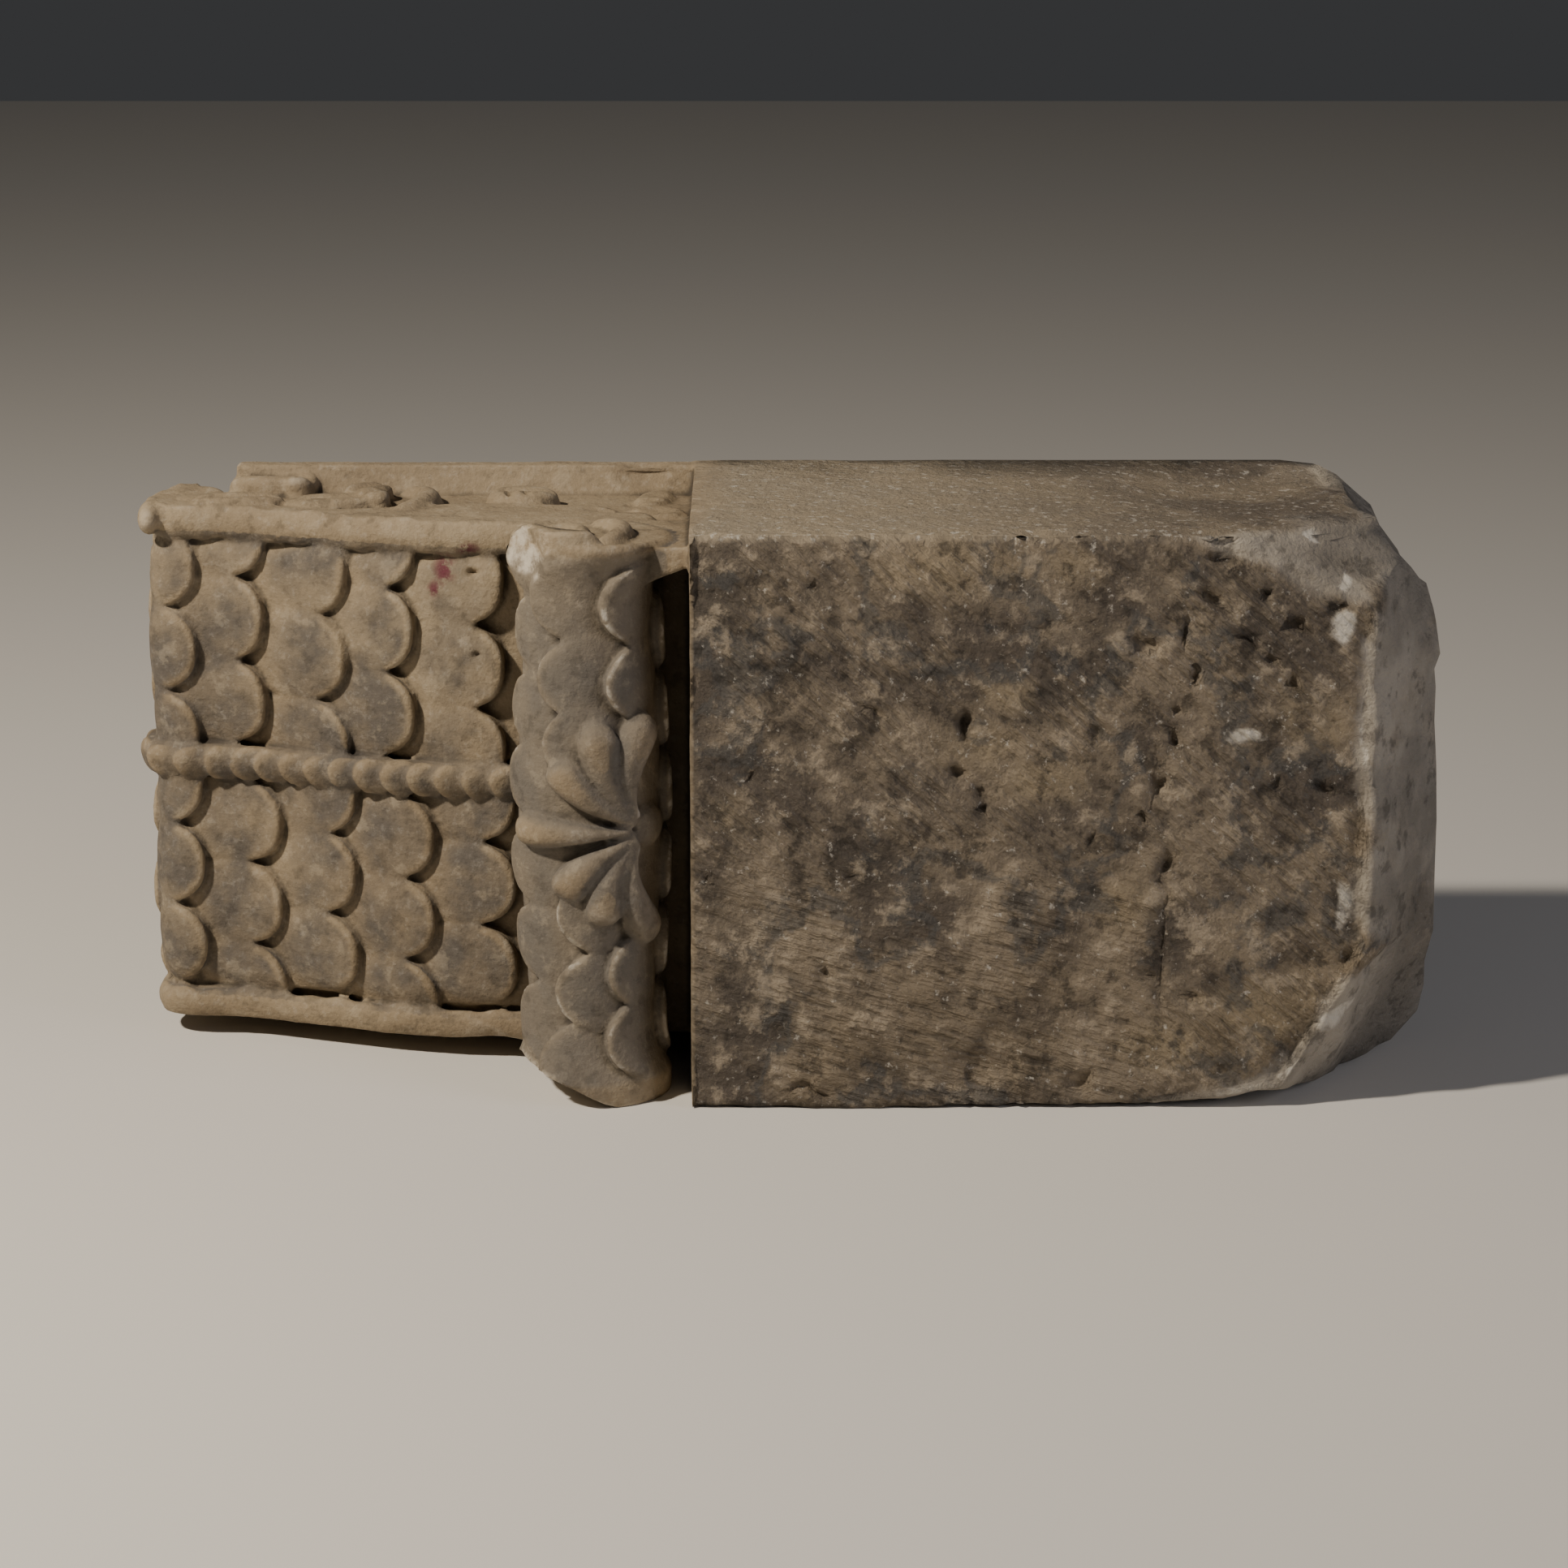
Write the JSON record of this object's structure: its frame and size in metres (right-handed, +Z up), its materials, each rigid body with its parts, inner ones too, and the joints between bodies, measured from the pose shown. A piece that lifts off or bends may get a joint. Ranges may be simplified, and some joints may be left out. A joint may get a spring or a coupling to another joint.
{
  "type": "marble modillion",
  "caption": "Broken carved marble scroll bracket lying on its side, with scaled soffit, cable moulding, palmette roll and a rough tail block.",
  "frame": {"origin": "middle of the underside of the block as it lies on one side face, at the centre of its box", "axes": "+X from the carved nose to the broken tail, +Y from the carved soffit to the bedding face, +Z up from the side face it lies on"},
  "size_m": [0.666, 0.1876, 0.294],
  "materials": {
    "marble": "aged fine-grained marble, beige and grey-brown with soot and earth in the hollows, worn whitish on high points and breaks"
  },
  "bodies": {
    "root": {"modillion": "marble"}
  },
  "joints": []
}
